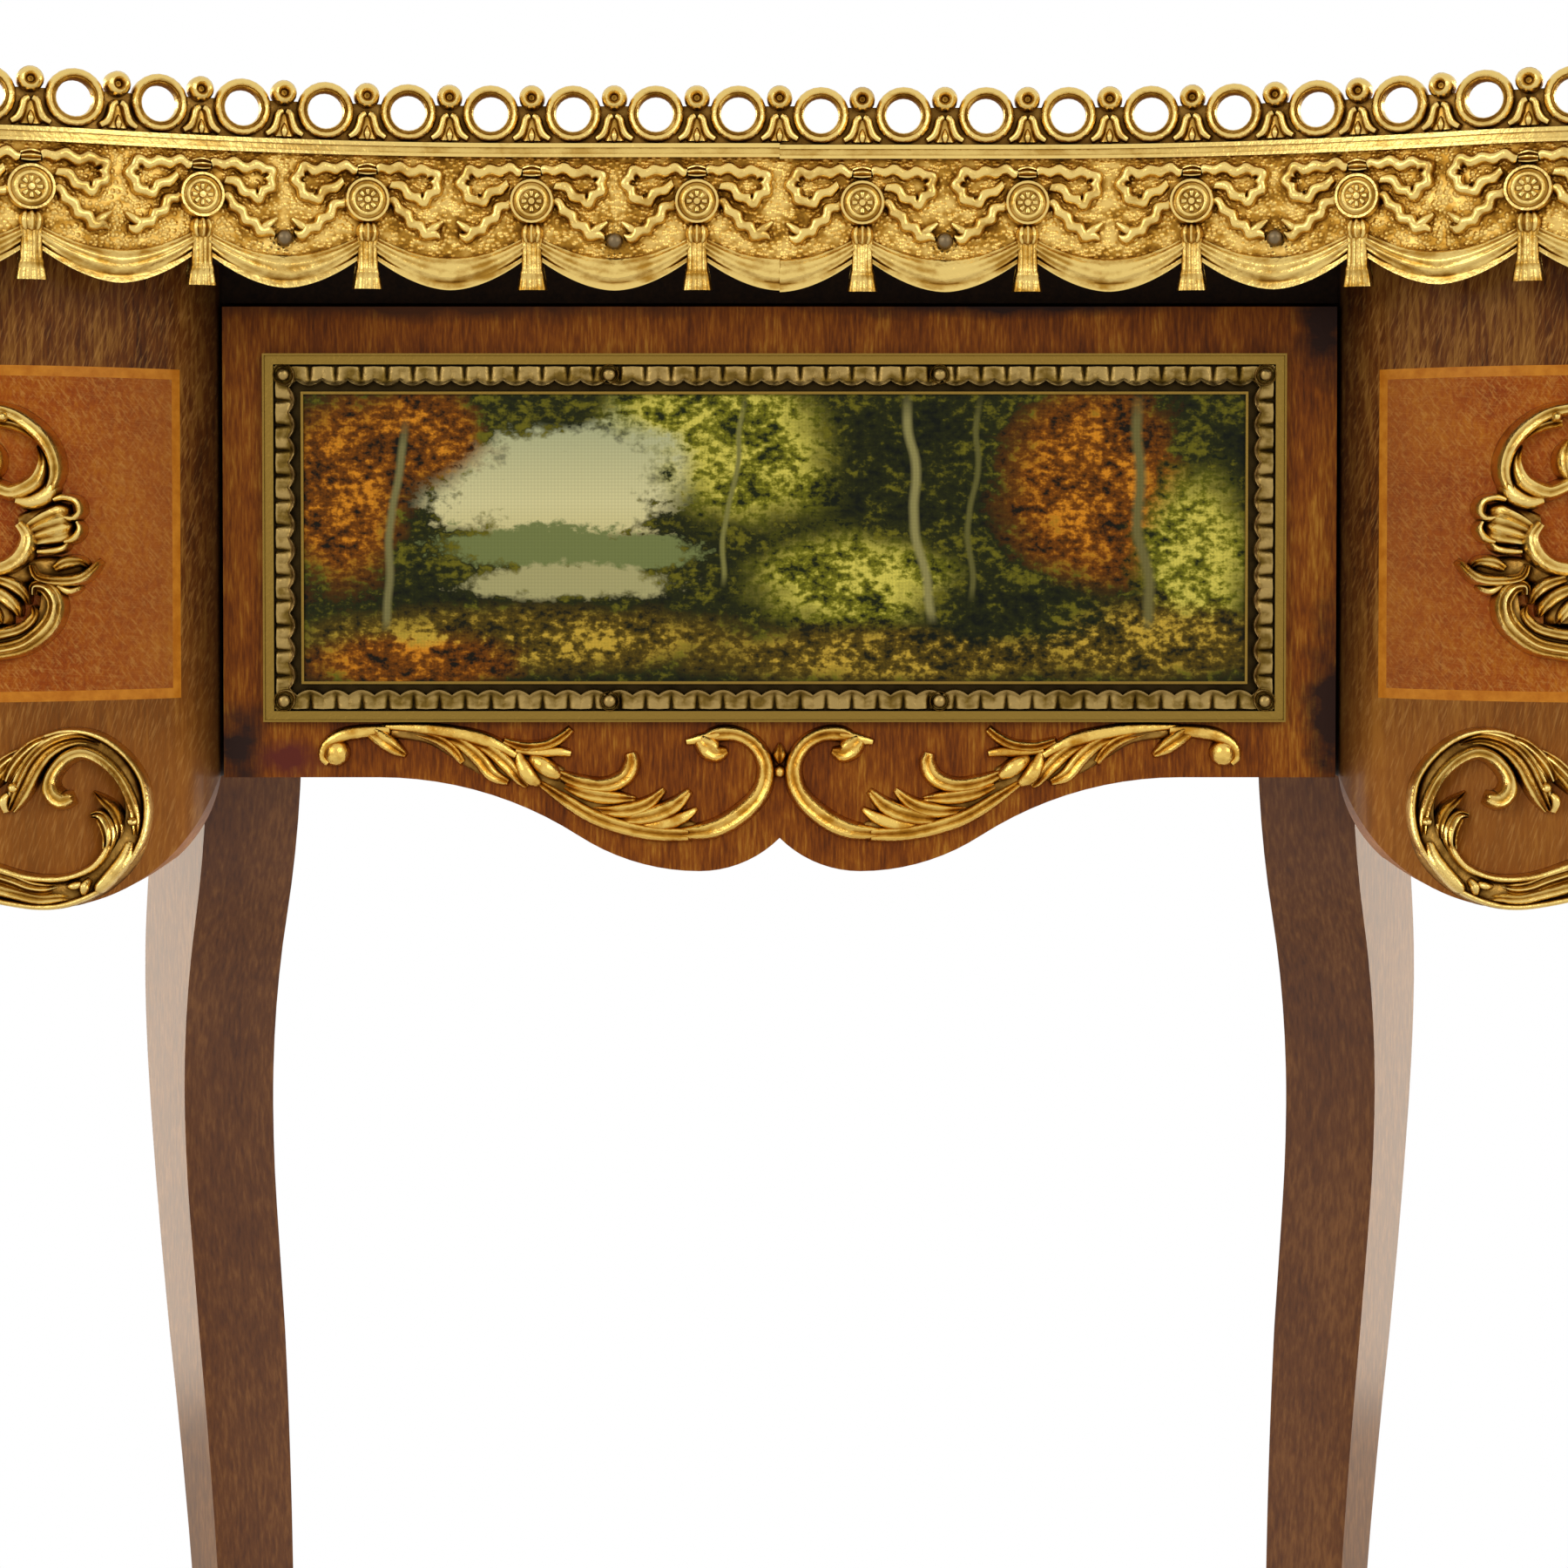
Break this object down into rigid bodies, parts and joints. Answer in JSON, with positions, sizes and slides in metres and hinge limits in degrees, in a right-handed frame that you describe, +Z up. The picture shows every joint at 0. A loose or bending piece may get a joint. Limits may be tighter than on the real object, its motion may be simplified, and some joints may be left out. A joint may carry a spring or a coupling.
{
  "type": "kidney-shaped occasional table",
  "caption": "Kidney-shaped occasional table with a pierced gilt gallery, a drawer with a framed picture between bowed lobes, gilt mounts and cabriole legs.",
  "frame": {"origin": "on the floor, under the middle of the table's box", "axes": "+Z up, +X to the viewer's right, front with the drawer faces -Y"},
  "size_m": [0.6722, 0.4118, 0.7378],
  "materials": {
    "veneer": "french polished veneer",
    "leg_wood": "polished solid wood",
    "lining_wood": "bare planed wood",
    "gilt_brass": "gilded, toned",
    "frame_brass": "stamped, toned",
    "stringing": "polished inlay",
    "canvas_print": "printed canvas",
    "screw_steel": "bare steel"
  },
  "bodies": {
    "table": {"back_leg_left": "leg_wood", "back_leg_right": "leg_wood", "back_panel": "veneer", "back_sabots": "gilt_brass", "drawer_kicker_left": "lining_wood", "drawer_kicker_right": "lining_wood", "drawer_runner_left": "lining_wood", "drawer_runner_right": "lining_wood", "drawer_stops": "lining_wood", "front_leg_left": "leg_wood", "front_leg_right": "leg_wood", "front_rail": "lining_wood", "front_sabots": "gilt_brass", "gallery_back_left": "gilt_brass", "gallery_back_right": "gilt_brass", "gallery_front_left": "gilt_brass", "gallery_front_right": "gilt_brass", "gallery_pins": "gilt_brass", "lobe_cartouches": "gilt_brass", "lobe_panel_left": "veneer", "lobe_panel_right": "veneer", "lobe_scrolls": "gilt_brass", "lobe_stringing": "stringing", "partition_left": "veneer", "partition_right": "veneer", "side_panel_left": "veneer", "side_panel_right": "veneer", "top_board": "veneer", "top_frame": "lining_wood", "top_screws": "screw_steel"},
    "drawer": {"apron_scrolls": "gilt_brass", "drawer_back": "lining_wood", "drawer_bottom": "lining_wood", "drawer_front": "veneer", "drawer_side_left": "lining_wood", "drawer_side_right": "lining_wood", "picture_frame_bottom": "frame_brass", "picture_frame_left": "frame_brass", "picture_frame_pins": "frame_brass", "picture_frame_right": "frame_brass", "picture_frame_top": "frame_brass", "picture_panel": "canvas_print"}
  },
  "joints": [
    {"name": "drawer_slide", "type": "slide", "parent": "table", "child": "drawer", "axis": [0, -1, 0], "range_m": [0, 0.16]}
  ]
}
